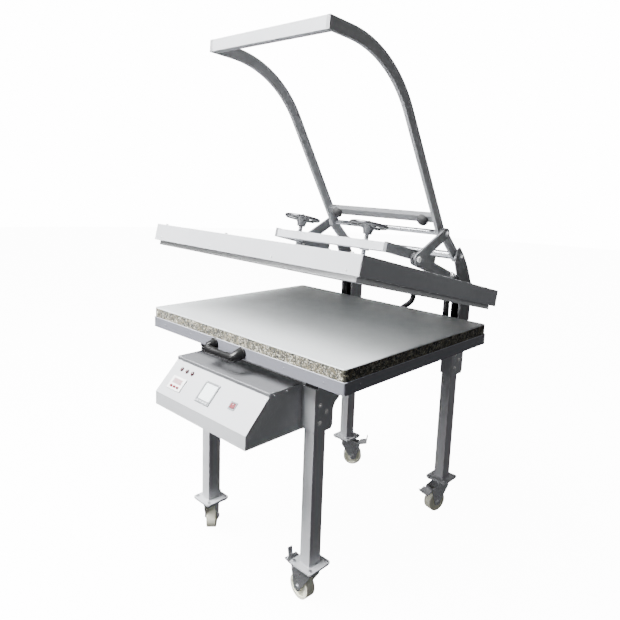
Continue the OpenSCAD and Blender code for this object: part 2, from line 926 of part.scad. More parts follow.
// Fork in its local frame: the wheel stands at [trail, 0, mid]
module fork_body() {
    difference() {
        union() {
            translate([0, 0, crown_z - crown_t]) cylinder(h = crown_t, r = 30);
            translate([0, 0, crown_z - 1]) cylinder(h = 10, r = kingpin_r);
            for (s = [-1, 1])
                translate([0, s * (fork_gap + fork_t / 2) + fork_t / 2, 0]) rotate([90, 0, 0])
                    linear_extrude(fork_t)
                        polygon([[-24, crown_z - 3], [30, crown_z - 3], [68, 112], [67, 96],
                                 [50, 34], [40, 28], [28, 30], [20, 42], [2, 70], [-24, 108]]);
        }
        translate([-40, -fork_gap, crown_z - 30]) cube([80, 2 * fork_gap, 24]);
        translate([pedal_pivot[0], 30, pedal_pivot[1]]) rotate([90, 0, 0])
            cylinder(h = 60, r = pedal_pin_r + fit);
    }
    // axle with its head and nut
    translate([caster_trail, 29, caster_mid_z]) rotate([90, 0, 0]) cylinder(h = 58, r = axle_r);
    for (y = [-29.5, fork_gap + fork_t])
        translate([caster_trail, y + 5, caster_mid_z]) rotate([90, 0, 0])
            cylinder(h = 5, r = 9, $fn = 6);
}

module wheel_body() {
    groove = 4;
    translate([caster_trail, 0, caster_mid_z]) rotate([90, 0, 0]) difference() {
        union() {
            translate([0, 0, -tread_half]) cylinder(h = 2 * tread_half, r = caster_mid_z);
            translate([0, 0, -fork_gap + 1]) cylinder(h = 2 * fork_gap - 2, r = 14);
        }
        translate([0, 0, -30]) cylinder(h = 60, r = axle_r + fit);
        for (z = [-tread_half - 1, tread_half - groove])
            translate([0, 0, z]) difference() {
                cylinder(h = groove + 1, r = caster_mid_z - 10);
                translate([0, 0, -1]) cylinder(h = groove + 3, r = 14);
            }
    }
}

// Brake pedal, hinged between the fork plates above the wheel, turned down by a
module pedal_body(a = 0) {
    translate([pedal_pivot[0], 0, pedal_pivot[1]]) rotate([0, a, 0]) rotate([90, 0, 0]) {
        translate([0, 0, -fork_gap - fork_t - 1])
            cylinder(h = 2 * (fork_gap + fork_t + 1), r = pedal_pin_r);
        translate([0, 0, -18]) linear_extrude(36)
            polygon([[-3, 1], [1, -3.5], [16, 8], [16, 13], [12, 13]]);
        translate([0, 0, -26]) linear_extrude(52)
            polygon([[11, 8], [40, 12], [44, 16], [40, 17], [12, 13]]);
        translate([0, 0, -9]) linear_extrude(18)
            polygon([[39, 12], [44, 14], [49, 45], [45, 46], [40, 17]]);
    }
}

module caster_fork_fl() {
    color(zinc) placed() at_caster(-1, front_leg_y, trail_fl) fork_body();
}

module caster_fork_fr() {
    color(zinc) placed() at_caster(1, front_leg_y, trail_fr) fork_body();
}

module caster_fork_rl() {
    color(zinc) placed() at_caster(-1, rear_leg_y, trail_rl) fork_body();
}

module caster_fork_rr() {
    color(zinc) placed() at_caster(1, rear_leg_y, trail_rr) fork_body();
}

module caster_wheel_fl() {
    color([0.93, 0.92, 0.82]) placed() at_caster(-1, front_leg_y, trail_fl) wheel_body();
}

module caster_wheel_fr() {
    color([0.93, 0.92, 0.82]) placed() at_caster(1, front_leg_y, trail_fr) wheel_body();
}

module caster_wheel_rl() {
    color([0.93, 0.92, 0.82]) placed() at_caster(-1, rear_leg_y, trail_rl) wheel_body();
}

module caster_wheel_rr() {
    color([0.93, 0.92, 0.82]) placed() at_caster(1, rear_leg_y, trail_rr) wheel_body();
}

module caster_pedal_fl() {
    color(zinc) placed() at_caster(-1, front_leg_y, trail_fl) pedal_body();
}

module caster_pedal_fr() {
    color(zinc) placed() at_caster(1, front_leg_y, trail_fr) pedal_body();
}

module caster_pedal_rl() {
    color(zinc) placed() at_caster(-1, rear_leg_y, trail_rl) pedal_body();
}

module caster_pedal_rr() {
    color(zinc) placed() at_caster(1, rear_leg_y, trail_rr) pedal_body(pedal_pressed);
}

legs();
leg_brackets();
bed_frame();
outer_runners();
uprights();
pivot_plates();
pivot_fittings();
strut_brackets();
junction_box();
heater_cable();
control_box();
control_back();
indicator_lamps();
controller_case();
panel_frames();
caster_plates();
tray();
foam_pad();
pull_handle();
inner_runners();
handle_arms();
handle_bar();
cross_tube();
elbow_shaft();
pivot_shaft();
bumpers();
link_left();
link_right();
crossbeam();
carrier_arms();
hinge_plates();
screw_nuts();
platen_cover();
insulation_board();
heating_plate();
screw_bridge();
handwheel_left();
handwheel_right();
screw_left();
screw_right();
rocker_switch();
button_1();
button_2();
button_3();
strut_cylinder_left();
strut_cylinder_right();
strut_rod_left();
strut_rod_right();
caster_fork_fl();
caster_fork_fr();
caster_fork_rl();
caster_fork_rr();
caster_wheel_fl();
caster_wheel_fr();
caster_wheel_rl();
caster_wheel_rr();
caster_pedal_fl();
caster_pedal_fr();
caster_pedal_rl();
caster_pedal_rr();
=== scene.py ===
import math
import random

import bmesh
import bpy
from mathutils import Matrix, Vector


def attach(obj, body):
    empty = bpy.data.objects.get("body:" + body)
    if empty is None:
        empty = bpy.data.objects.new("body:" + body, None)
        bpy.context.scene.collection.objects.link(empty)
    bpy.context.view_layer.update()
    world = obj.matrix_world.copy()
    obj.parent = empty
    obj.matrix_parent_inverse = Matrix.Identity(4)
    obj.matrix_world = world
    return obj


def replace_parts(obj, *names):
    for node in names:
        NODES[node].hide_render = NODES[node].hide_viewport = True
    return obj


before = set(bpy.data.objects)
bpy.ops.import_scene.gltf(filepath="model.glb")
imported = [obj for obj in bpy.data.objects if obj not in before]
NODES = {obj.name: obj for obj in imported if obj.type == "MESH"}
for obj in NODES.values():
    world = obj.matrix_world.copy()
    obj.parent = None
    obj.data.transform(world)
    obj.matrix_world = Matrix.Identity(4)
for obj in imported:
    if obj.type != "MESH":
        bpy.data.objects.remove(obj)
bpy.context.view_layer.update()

# The CAD sizes below are millimetres from the middle of the bed, at the
# height of the casters' floor, so everything goes through P().
BED_AHEAD = 38.0


def P(x, y, z):
    return Vector((x / 1000, (y - BED_AHEAD) / 1000, z / 1000))


# ---------------------------------------------------------------- camera

SENSOR = 36
PICTURE = 620
FOCAL = 571.8


def make_camera():
    """FOCAL and the shifts are in parts of a picture that is PICTURE wide."""
    yaw, pitch, roll = math.radians(41.9), math.radians(9.4), math.radians(2.4)
    forward = Vector((-math.sin(yaw) * math.cos(pitch),
                      math.cos(yaw) * math.cos(pitch), -math.sin(pitch)))
    right = Vector((math.cos(yaw), math.sin(yaw), 0))
    up = right.cross(forward)
    right, up = (math.cos(roll) * right + math.sin(roll) * up,
                 -math.sin(roll) * right + math.cos(roll) * up)
    cam = bpy.data.objects.new("camera", bpy.data.cameras.new("camera"))
    bpy.context.scene.collection.objects.link(cam)
    m = Matrix((right, up, -forward)).transposed().to_4x4()
    m.translation = P(1486.66, -1569.16, 1428.83)
    cam.matrix_world = m
    cam.data.sensor_width = SENSOR
    cam.data.lens = SENSOR * FOCAL / PICTURE
    cam.data.shift_x = -25 / PICTURE
    cam.data.shift_y = -35 / PICTURE
    cam.data.clip_start, cam.data.clip_end = 0.05, 60
    bpy.context.scene.camera = cam


make_camera()

# ------------------------------------------------------------- materials


class Tree:
    """A small helper for building one material's nodes."""

    def __init__(self, name):
        self.mat = bpy.data.materials.new(name)
        self.mat.use_nodes = True
        self.nt = self.mat.node_tree
        self.bsdf = self.nt.nodes["Principled BSDF"]
        self.coord = self.node("ShaderNodeTexCoord").outputs["Object"]

    def node(self, kind, **props):
        n = self.nt.nodes.new(kind)
        for k, v in props.items():
            setattr(n, k, v)
        return n

    def link(self, a, b):
        self.nt.links.new(a, b)

    def stretched(self, scale):
        n = self.node("ShaderNodeMapping")
        n.inputs["Scale"].default_value = scale
        self.link(self.coord, n.inputs["Vector"])
        return n.outputs["Vector"]

    def noise(self, scale, detail=4, rough=0.55, where=None):
        n = self.node("ShaderNodeTexNoise")
        n.inputs["Scale"].default_value = scale
        n.inputs["Detail"].default_value = detail
        n.inputs["Roughness"].default_value = rough
        self.link(where or self.coord, n.inputs["Vector"])
        return n.outputs["Fac"]

    def cells(self, scale, feature="F1", out="Color", where=None):
        n = self.node("ShaderNodeTexVoronoi", feature=feature)
        n.inputs["Scale"].default_value = scale
        self.link(where or self.coord, n.inputs["Vector"])
        return n.outputs[out]

    def ramp(self, fac, stops, interpolation="LINEAR"):
        n = self.node("ShaderNodeValToRGB")
        n.color_ramp.interpolation = interpolation
        e = n.color_ramp.elements
        while len(e) < len(stops):
            e.new(0.5)
        for el, (pos, col) in zip(e, stops):
            el.position = pos
            el.color = (*col, 1)
        self.link(fac, n.inputs["Fac"])
        return n.outputs["Color"]

    def fit(self, value, lo, hi, a, b):
        n = self.node("ShaderNodeMapRange")
        for key, v in (("From Min", lo), ("From Max", hi),
                       ("To Min", a), ("To Max", b)):
            n.inputs[key].default_value = v
        self.link(value, n.inputs["Value"])
        return n.outputs["Result"]

    def mix(self, fac, a, b, blend="MIX"):
        n = self.node("ShaderNodeMix", data_type="RGBA", blend_type=blend)
        for key, v in ((0, fac), (6, a), (7, b)):
            if hasattr(v, "is_linked"):
                self.link(v, n.inputs[key])
            elif key == 0:
                n.inputs[key].default_value = v
            else:
                n.inputs[key].default_value = (*v, 1)
        return n.outputs[2]

    def math(self, op, a, b=None):
        n = self.node("ShaderNodeMath", operation=op)
        for i, v in enumerate((a, b)):
            if v is None:
                continue
            if hasattr(v, "is_linked"):
                self.link(v, n.inputs[i])
            else:
                n.inputs[i].default_value = v
        return n.outputs["Value"]

    def bump(self, height, strength, distance, chain=None):
        n = self.node("ShaderNodeBump")
        n.inputs["Strength"].default_value = strength
        n.inputs["Distance"].default_value = distance
        self.link(height, n.inputs["Height"])
        if chain:
            self.link(chain, n.inputs["Normal"])
        return n.outputs["Normal"]

    def done(self, color, rough, normal=None, metal=0.0, spec=0.5, coat=0.0,
             coat_rough=0.1, sheen=0.0):
        b = self.bsdf
        self.link(color, b.inputs["Base Color"])
        self.link(rough, b.inputs["Roughness"])
        if normal:
            self.link(normal, b.inputs["Normal"])
        b.inputs["Metallic"].default_value = metal
        b.inputs["Specular IOR Level"].default_value = spec
        b.inputs["Coat Weight"].default_value = coat
        b.inputs["Coat Roughness"].default_value = coat_rough
        b.inputs["Sheen Weight"].default_value = sheen
        return self.mat


def shade(c, k):
    return tuple(min(1.0, v * k) for v in c)


def paint(name, base, rough=0.42, peel=0.35, metal=0.0, grime=0.10):
    """Powder coat: orange peel, tone drift, dust, fine scratches, rubbed spots."""
    t = Tree(name)
    drift = t.noise(2.3, 3)
    col = t.ramp(drift, [(0.3, shade(base, 0.93)), (0.72, shade(base, 1.05))])
    dust = t.noise(38, 6, 0.7)
    col = t.mix(t.fit(dust, 0.52, 0.8, 0, grime), col, shade(base, 0.62))
    hair = t.noise(60, 2, 0.4, t.stretched((1, 22, 3)))
    col = t.mix(t.fit(hair, 0.66, 0.72, 0, 0.16), col, shade(base, 1.25))
    spots = t.cells(9, out="Distance")
    col = t.mix(t.fit(spots, 0.0, 0.035, 0.35, 0), col, shade(base, 0.5))
    fine = t.noise(420, 3, 0.5)
    normal = t.bump(fine, peel, 0.0004)
    normal = t.bump(t.noise(7, 2), 0.12, 0.004, normal)
    return t.done(col, t.fit(dust, 0.3, 0.75, rough - 0.07, rough + 0.12), normal,
                  metal=metal, coat=0.12, coat_rough=0.25)


def plated(name, base, rough=0.34, spangle=0.10, metal=0.92):
    """Bright zinc: small spangle, water marks, light wear."""
    t = Tree(name)
    grains = t.cells(140, out="Color")
    bw = t.node("ShaderNodeRGBToBW")
    t.link(grains, bw.inputs[0])
    col = t.ramp(bw.outputs[0], [(0.1, shade(base, 1 - spangle)),
                                 (0.9, shade(base, 1 + spangle))])
    marks = t.noise(24, 5, 0.65)
    col = t.mix(t.fit(marks, 0.5, 0.78, 0, 0.45), col, shade(base, 0.62))
    normal = t.bump(t.noise(260, 4), 0.25, 0.0003)
    return t.done(col, t.fit(marks, 0.3, 0.75, rough - 0.08, rough + 0.2), normal,
                  metal=metal)


def brushed(name, base, rough, tone=0.12):
    """Brushed or turned metal: streaks along X over a slow tone change."""
    t = Tree(name)
    streak = t.noise(6, 3, 0.6, t.stretched((2, 90, 90)))
    col = t.ramp(streak, [(0.3, shade(base, 1 - tone)), (0.7, shade(base, 1 + tone))])
    stain = t.noise(9, 5, 0.6)
    col = t.mix(t.fit(stain, 0.55, 0.8, 0, 0.4), col, shade(base, 0.55))
    normal = t.bump(streak, 0.25, 0.0003)
    return t.done(col, t.fit(streak, 0.3, 0.7, rough - 0.06, rough + 0.08), normal,
                  metal=1.0)


def moulded(name, base, rough=0.45, grain=320, depth=0.35, coat=0.0, spec=0.5):
    """Moulded plastic or rubber: fine spark-eroded grain and slight soiling."""
    t = Tree(name)
    col = t.ramp(t.noise(11, 4), [(0.3, shade(base, 0.88)), (0.75, shade(base, 1.1))])
    dust = t.noise(70, 5, 0.7)
    lift = tuple(min(1.0, v * 1.3 + 0.004) for v in base)
    col = t.mix(t.fit(dust, 0.55, 0.8, 0, 0.35), col, lift)
    normal = t.bump(t.noise(grain, 3), depth, 0.0003)
    return t.done(col, t.fit(dust, 0.3, 0.75, rough - 0.06, rough + 0.14), normal,
                  coat=coat, spec=spec)


GREY = (0.44, 0.45, 0.47)
M = {}
M["paint"] = paint("grey_powder_coat", GREY)
# slightly lighter copy of the grey paint on the platen cover and its hem: painted light
M["cover_painted_light"] = paint("platen_coat_painted_light", shade(GREY, 1.06), rough=0.38, peel=0.25)
M["paint_tray"] = paint("tray_powder_coat", (0.16, 0.163, 0.188), rough=0.36, peel=0.22)
# lighter copy of the tray paint along the tray's rolled edges: painted highlight
M["lip_painted_highlight"] = paint("tray_lip_painted_highlight", (0.38, 0.39, 0.44), rough=0.32, peel=0.2)
# darker copy of the grey paint on the links, carrier arms, plates and cross tube: painted shade
M["link_painted_shade"] = paint("linkage_coat_painted_shade", (0.125, 0.128, 0.134), rough=0.36, peel=0.22)
# darker copy of the grey paint on the handle arms and uprights: painted shade
M["arm_painted_shade"] = paint("arm_coat_painted_shade", (0.27, 0.276, 0.288), rough=0.4, peel=0.05)
# near-black paint for the inside of the uprights' channels: painted shade
M["channel_painted_shade"] = paint("channel_shade_black", (0.006, 0.006, 0.0065), rough=0.6)
# the control box lid is painted dark grey for the shade under the tray and pad: painted shade
M["lid_painted_shade"] = paint("lid_shade_paint", (0.10, 0.102, 0.108), rough=0.34, peel=0.2)
M["zinc"] = plated("bright_zinc", (0.55, 0.56, 0.58), rough=0.26)
# darkened copy of the zinc on the handwheels and their hubs: painted shade
M["wheel_zinc_painted_shade"] = plated("wheel_plating_painted_shade", (0.10, 0.102, 0.106), rough=0.17, spangle=0.05)
M["steel"] = brushed("turned_steel", (0.42, 0.43, 0.45), 0.26)
M["alu"] = brushed("milled_aluminium", (0.58, 0.59, 0.60), 0.38, tone=0.06)
M["black_steel"] = paint("black_oxide", (0.018, 0.018, 0.02), rough=0.36, peel=0.5, metal=0.3)
M["rubber"] = moulded("bumper_rubber", (0.02, 0.02, 0.021), 0.7, 500, 0.5)
M["sleeve"] = moulded("conduit_sleeve", (0.015, 0.015, 0.017), 0.42, 400, 0.3)
M["black"] = moulded("black_nylon", (0.008, 0.008, 0.009), 0.42, 380, 0.4)
M["white"] = moulded("white_casing", (0.80, 0.80, 0.79), 0.4)
M["grey_plastic"] = moulded("grey_bezel", (0.17, 0.18, 0.19), 0.42)
M["red"] = moulded("red_rocker", (0.13, 0.004, 0.012), 0.3, coat=0.25)
M["lamp"] = moulded("red_lamp_lens", (0.035, 0.003, 0.006), 0.3, 200, 0.1, coat=0.3)
M["nylon"] = moulded("cream_nylon", (0.88, 0.87, 0.72), 0.42, 260, 0.3)
M["blanket"] = moulded("ceramic_blanket", (0.72, 0.70, 0.62), 0.95, 240, 1.0)
M["gloss_black"] = moulded("glossy_black_abs", (0.003, 0.003, 0.0033), 0.34, 300, 0.04,
                           coat=0.08, spec=0.3)
M["grey_key"] = moulded("membrane_key", (0.42, 0.44, 0.46), 0.5)
M["window"] = moulded("tinted_window", (0.42, 0.34, 0.35), 0.2, 120, 0.05, coat=0.3)
M["led"] = moulded("red_segments", (0.30, 0.01, 0.02), 0.4, 120, 0.05)
# the bolts' zinc, made near white: partly zinc colour, partly painted glint
M["zinc_and_painted_glint"] = plated("bolt_zinc_and_painted_glint", (0.90, 0.90, 0.88), rough=0.24,
                          spangle=0.03, metal=0.45)


def foam_edge():
    """Rebonded foam cut with a knife: chips of several tones and sizes."""
    t = Tree("rebonded_foam")
    warp = t.noise(60, 3)
    v = t.node("ShaderNodeVectorMath", operation="ADD")
    s = t.node("ShaderNodeVectorMath", operation="SCALE")
    s.inputs["Scale"].default_value = 0.006
    comb = t.node("ShaderNodeCombineXYZ")
    for i in range(3):
        t.link(warp, comb.inputs[i])
    t.link(comb.outputs[0], s.inputs[0])
    t.link(t.coord, v.inputs[0])
    t.link(s.outputs[0], v.inputs[1])
    where = v.outputs[0]
    chips = t.cells(112, where=where)
    bw = t.node("ShaderNodeSeparateColor")
    t.link(chips, bw.inputs[0])
    col = t.ramp(bw.outputs[0], [
        (0.0, (0.010, 0.010, 0.008)), (0.16, (0.035, 0.032, 0.022)),
        (0.30, (0.072, 0.063, 0.038)), (0.45, (0.115, 0.102, 0.066)),
        (0.60, (0.036, 0.036, 0.025)), (0.72, (0.145, 0.134, 0.097)),
        (0.84, (0.08, 0.07, 0.046)), (0.95, (0.27, 0.26, 0.205))], "CONSTANT")
    small = t.cells(300, where=where)
    sb = t.node("ShaderNodeSeparateColor")
    t.link(small, sb.inputs[0])
    col = t.mix(t.fit(sb.outputs[1], 0.80, 0.82, 0, 0.85), col, (0.012, 0.012, 0.009))
    col = t.mix(t.fit(sb.outputs[2], 0.86, 0.88, 0, 0.7), col, (0.40, 0.39, 0.33))
    gaps = t.cells(112, feature="DISTANCE_TO_EDGE", out="Distance", where=where)
    col = t.mix(t.fit(gaps, 0.0, 0.09, 0.75, 0), col, (0.012, 0.011, 0.008))
    height = t.math("ADD", t.fit(gaps, 0, 0.25, 0, 1), t.noise(700, 3))
    normal = t.bump(height, 0.9, 0.0011)
    return t.done(col, t.fit(sb.outputs[0], 0, 1, 0.8, 0.98), normal, spec=0.2, sheen=0.15)


def foam_skin():
    """The pad's pressed top skin: silver-grey, faintly mottled by the chips below."""
    t = Tree("pressed_pad_skin")
    base = (0.34, 0.355, 0.36)
    mottled = t.cells(70, out="Distance")
    col = t.ramp(t.noise(3.1, 4), [(0.3, shade(base, 0.92)), (0.7, shade(base, 1.06))])
    col = t.mix(t.fit(mottled, 0.2, 0.7, 0, 0.10), col, shade(base, 0.8))
    weave_a = t.noise(5, 2, 0.5, t.stretched((260, 12, 12)))
    weave_b = t.noise(5, 2, 0.5, t.stretched((12, 260, 12)))
    weave = t.math("ADD", weave_a, weave_b)
    rub = t.noise(12, 5, 0.65)
    normal = t.bump(weave, 0.22, 0.0004)
    normal = t.bump(mottled, 0.10, 0.001, normal)
    return t.done(col, t.fit(rub, 0.3, 0.75, 0.30, 0.46), normal, coat=0.15,
                  coat_rough=0.3)


M["foam_edge"] = foam_edge()
M["foam_skin"] = foam_skin()


def lcd():
    """A lit display: pale ground, faint frames of a menu page."""
    t = Tree("display_glass")
    brick = t.node("ShaderNodeTexBrick", offset=0.0)
    t.link(t.stretched((1, 1.35, 1)), brick.inputs["Vector"])
    brick.inputs["Scale"].default_value = 52
    brick.inputs["Mortar Size"].default_value = 0.05
    brick.inputs["Color1"].default_value = (0.86, 0.89, 0.90, 1)
    brick.inputs["Color2"].default_value = (0.80, 0.85, 0.87, 1)
    brick.inputs["Mortar"].default_value = (0.62, 0.68, 0.70, 1)
    return t.done(brick.outputs["Color"], t.fit(t.noise(30), 0.3, 0.7, 0.08, 0.16),
                  coat=0.6)


M["lcd"] = lcd()

# the platen's screws lean back by the angle that the press is opened
OPENING = math.radians(13.3)
LIFTED = Vector((0, math.sin(OPENING), math.cos(OPENING)))
THREAD_PITCH = 0.004


def threaded():
    """Rolled thread on the pressure screws: ridges square to the screw's axis."""
    t = Tree("rolled_thread")
    dot = t.node("ShaderNodeVectorMath", operation="DOT_PRODUCT")
    t.link(t.coord, dot.inputs[0])
    dot.inputs[1].default_value = LIFTED
    turns = 2 * math.pi / THREAD_PITCH
    ridge = t.math("SINE", t.math("MULTIPLY", dot.outputs["Value"], turns))
    # dark in the grooves and light on the crests: painted shade and painted highlight
    col = t.ramp(t.fit(ridge, -1, 1, 0, 1), [(0.2, (0.16, 0.16, 0.17)),
                                             (0.8, (0.62, 0.63, 0.65))])
    normal = t.bump(ridge, 1.0, 0.0012)
    return t.done(col, t.fit(t.noise(40), 0.3, 0.7, 0.22, 0.34), normal, metal=1.0)


M["thread"] = threaded()

# which CAD nodes wear which look
WEARERS = {
    "paint": "legs leg_brackets bed_frame strut_brackets control_box control_back "
             "handle_bar crossbeam screw_bridge",
    "link_painted_shade": "link_left link_right carrier_arms hinge_plates cross_tube pivot_plates",
    "arm_painted_shade": "handle_arms uprights",
    "cover_painted_light": "platen_cover",
    "paint_tray": "tray",
    "zinc": "outer_runners inner_runners pivot_fittings caster_plates screw_nuts "
            "caster_fork_fl caster_fork_fr caster_fork_rl caster_fork_rr "
            "caster_pedal_fl caster_pedal_fr caster_pedal_rl caster_pedal_rr",
    "wheel_zinc_painted_shade": "handwheel_left handwheel_right",
    "nylon": "caster_wheel_fl caster_wheel_fr caster_wheel_rl caster_wheel_rr",
    "steel": "elbow_shaft pivot_shaft strut_rod_left strut_rod_right",
    "black_steel": "strut_cylinder_left strut_cylinder_right",
    "thread": "screw_left screw_right",
    "alu": "heating_plate",
    "blanket": "insulation_board",
    "foam_edge": "foam_pad",
    "sleeve": "heater_cable",
    "black": "junction_box pull_handle",
    "rubber": "bumpers",
    "white": "controller_case",
    "grey_plastic": "panel_frames",
    "lamp": "indicator_lamps",
    "red": "rocker_switch button_1 button_2 button_3",
}
LOOK = {node: look for look, nodes in WEARERS.items() for node in nodes.split()}

for name, look in LOOK.items():
    mesh = NODES[name].data
    mesh.materials.clear()
    mesh.materials.append(M[look])

# ------------------------------------------------------------ lights, floor


def area(name, where, aim, size, power):
    light = bpy.data.lights.new(name, "AREA")
    light.shape = "RECTANGLE"
    light.size, light.size_y = size
    light.energy = power
    o = bpy.data.objects.new(name, light)
    o.location = where
    o.rotation_euler = (Vector(aim) - Vector(where)).to_track_quat("-Z", "Y").to_euler()
    bpy.context.scene.collection.objects.link(o)
    return o


def glow(t, strength):
    """Gives a stage material light of its own, so that shadows on it stay pale."""
    t.bsdf.inputs["Emission Color"].default_value = (1, 1, 1, 1)
    t.bsdf.inputs["Emission Strength"].default_value = strength


def studio():
    """World, lights, floor and two backdrops: one for the camera, one to be reflected."""
    world = bpy.data.worlds.new("studio")
    world.use_nodes = True
    world.node_tree.nodes["Background"].inputs["Color"].default_value = (0.96, 0.98, 1.0, 1)
    world.node_tree.nodes["Background"].inputs["Strength"].default_value = 0.15
    bpy.context.scene.world = world

    area("key", (-1.1, -2.3, 4.7), (0, 0, 0.9), (3.0, 3.0), 1750)
    area("front", (-0.9, -4.6, 1.3), (0, 0, 0.8), (2.2, 1.6), 110)
    low = area("pad_fill", (-0.6, -2.6, 2.25), (0.25, 0.0, 0.95), (1.8, 1.1), 260)
    pad_only = bpy.data.collections.new("pad_fill_receivers")
    low.light_linking.receiver_collection = pad_only

    floor = bpy.data.objects.new("floor", bpy.data.meshes.new("floor"))
    wall = bpy.data.objects.new("backdrop", bpy.data.meshes.new("backdrop"))
    bm = bmesh.new()
    bmesh.ops.create_circle(bm, cap_ends=True, radius=14, segments=64)
    bm.to_mesh(floor.data)
    bm.free()
    bm = bmesh.new()
    rings = []
    for h in (0, 9):
        rings.append([bm.verts.new((13.9 * math.cos(a), 13.9 * math.sin(a), h))
                      for a in (2 * math.pi * k / 64 for k in range(64))])
    for k in range(64):
        bm.faces.new((rings[0][k], rings[0][(k + 1) % 64], rings[1][(k + 1) % 64], rings[1][k]))
    bm.faces.new(rings[1])
    bm.to_mesh(wall.data)
    bm.free()
    mirror = bpy.data.objects.new("glossy_backdrop", wall.data.copy())
    for o, strength in ((floor, 13.0), (wall, 15.0), (mirror, 0.5)):
        bpy.context.scene.collection.objects.link(o)
        t = Tree("stage_" + o.name)
        t.done(t.ramp(t.noise(0.6, 3), [(0.3, (0.30, 0.30, 0.30)), (0.7, (0.33, 0.33, 0.33))]),
               t.fit(t.noise(3), 0.3, 0.7, 0.85, 0.95), spec=0.1)
        glow(t, strength)
        if o is mirror:
            cloud = t.noise(0.5, 2, 0.5, t.stretched((1, 1, 0.6)))
            bands = t.fit(cloud, 0.36, 0.64, 0.02, 2.0 * strength)
            t.link(bands, t.bsdf.inputs["Emission Strength"])
        o.data.materials.append(t.mat)
        o.visible_diffuse = False
        o.visible_shadow = False
        o.visible_camera = o is not mirror
        o.visible_glossy = o is mirror
    return pad_only


PAD_ONLY = studio()

# ---------------------------------------------------------- detail pieces


HINGE_Y, HINGE_Z = 575, 1016


def turned(x, y, z):
    """A point of the closed press, moved to the open pose about the platen's hinge."""
    a = -OPENING
    dy, dz = y - HINGE_Y, z - HINGE_Z
    return P(x, HINGE_Y + dy * math.cos(a) - dz * math.sin(a),
             HINGE_Z + dy * math.sin(a) + dz * math.cos(a))


AHEAD = Vector((0, -LIFTED.z, LIFTED.y))
PANEL_OUT = Vector((0, -0.7361, 0.6769))
PANEL_UP = Vector((0, 0.6769, 0.7361))


def on_panel(x, s, out=0.0):
    """A point s millimetres down the panel's slope and out millimetres off its face."""
    return P(x, -463, 772) - PANEL_UP * (s / 1000) + PANEL_OUT * (out / 1000)


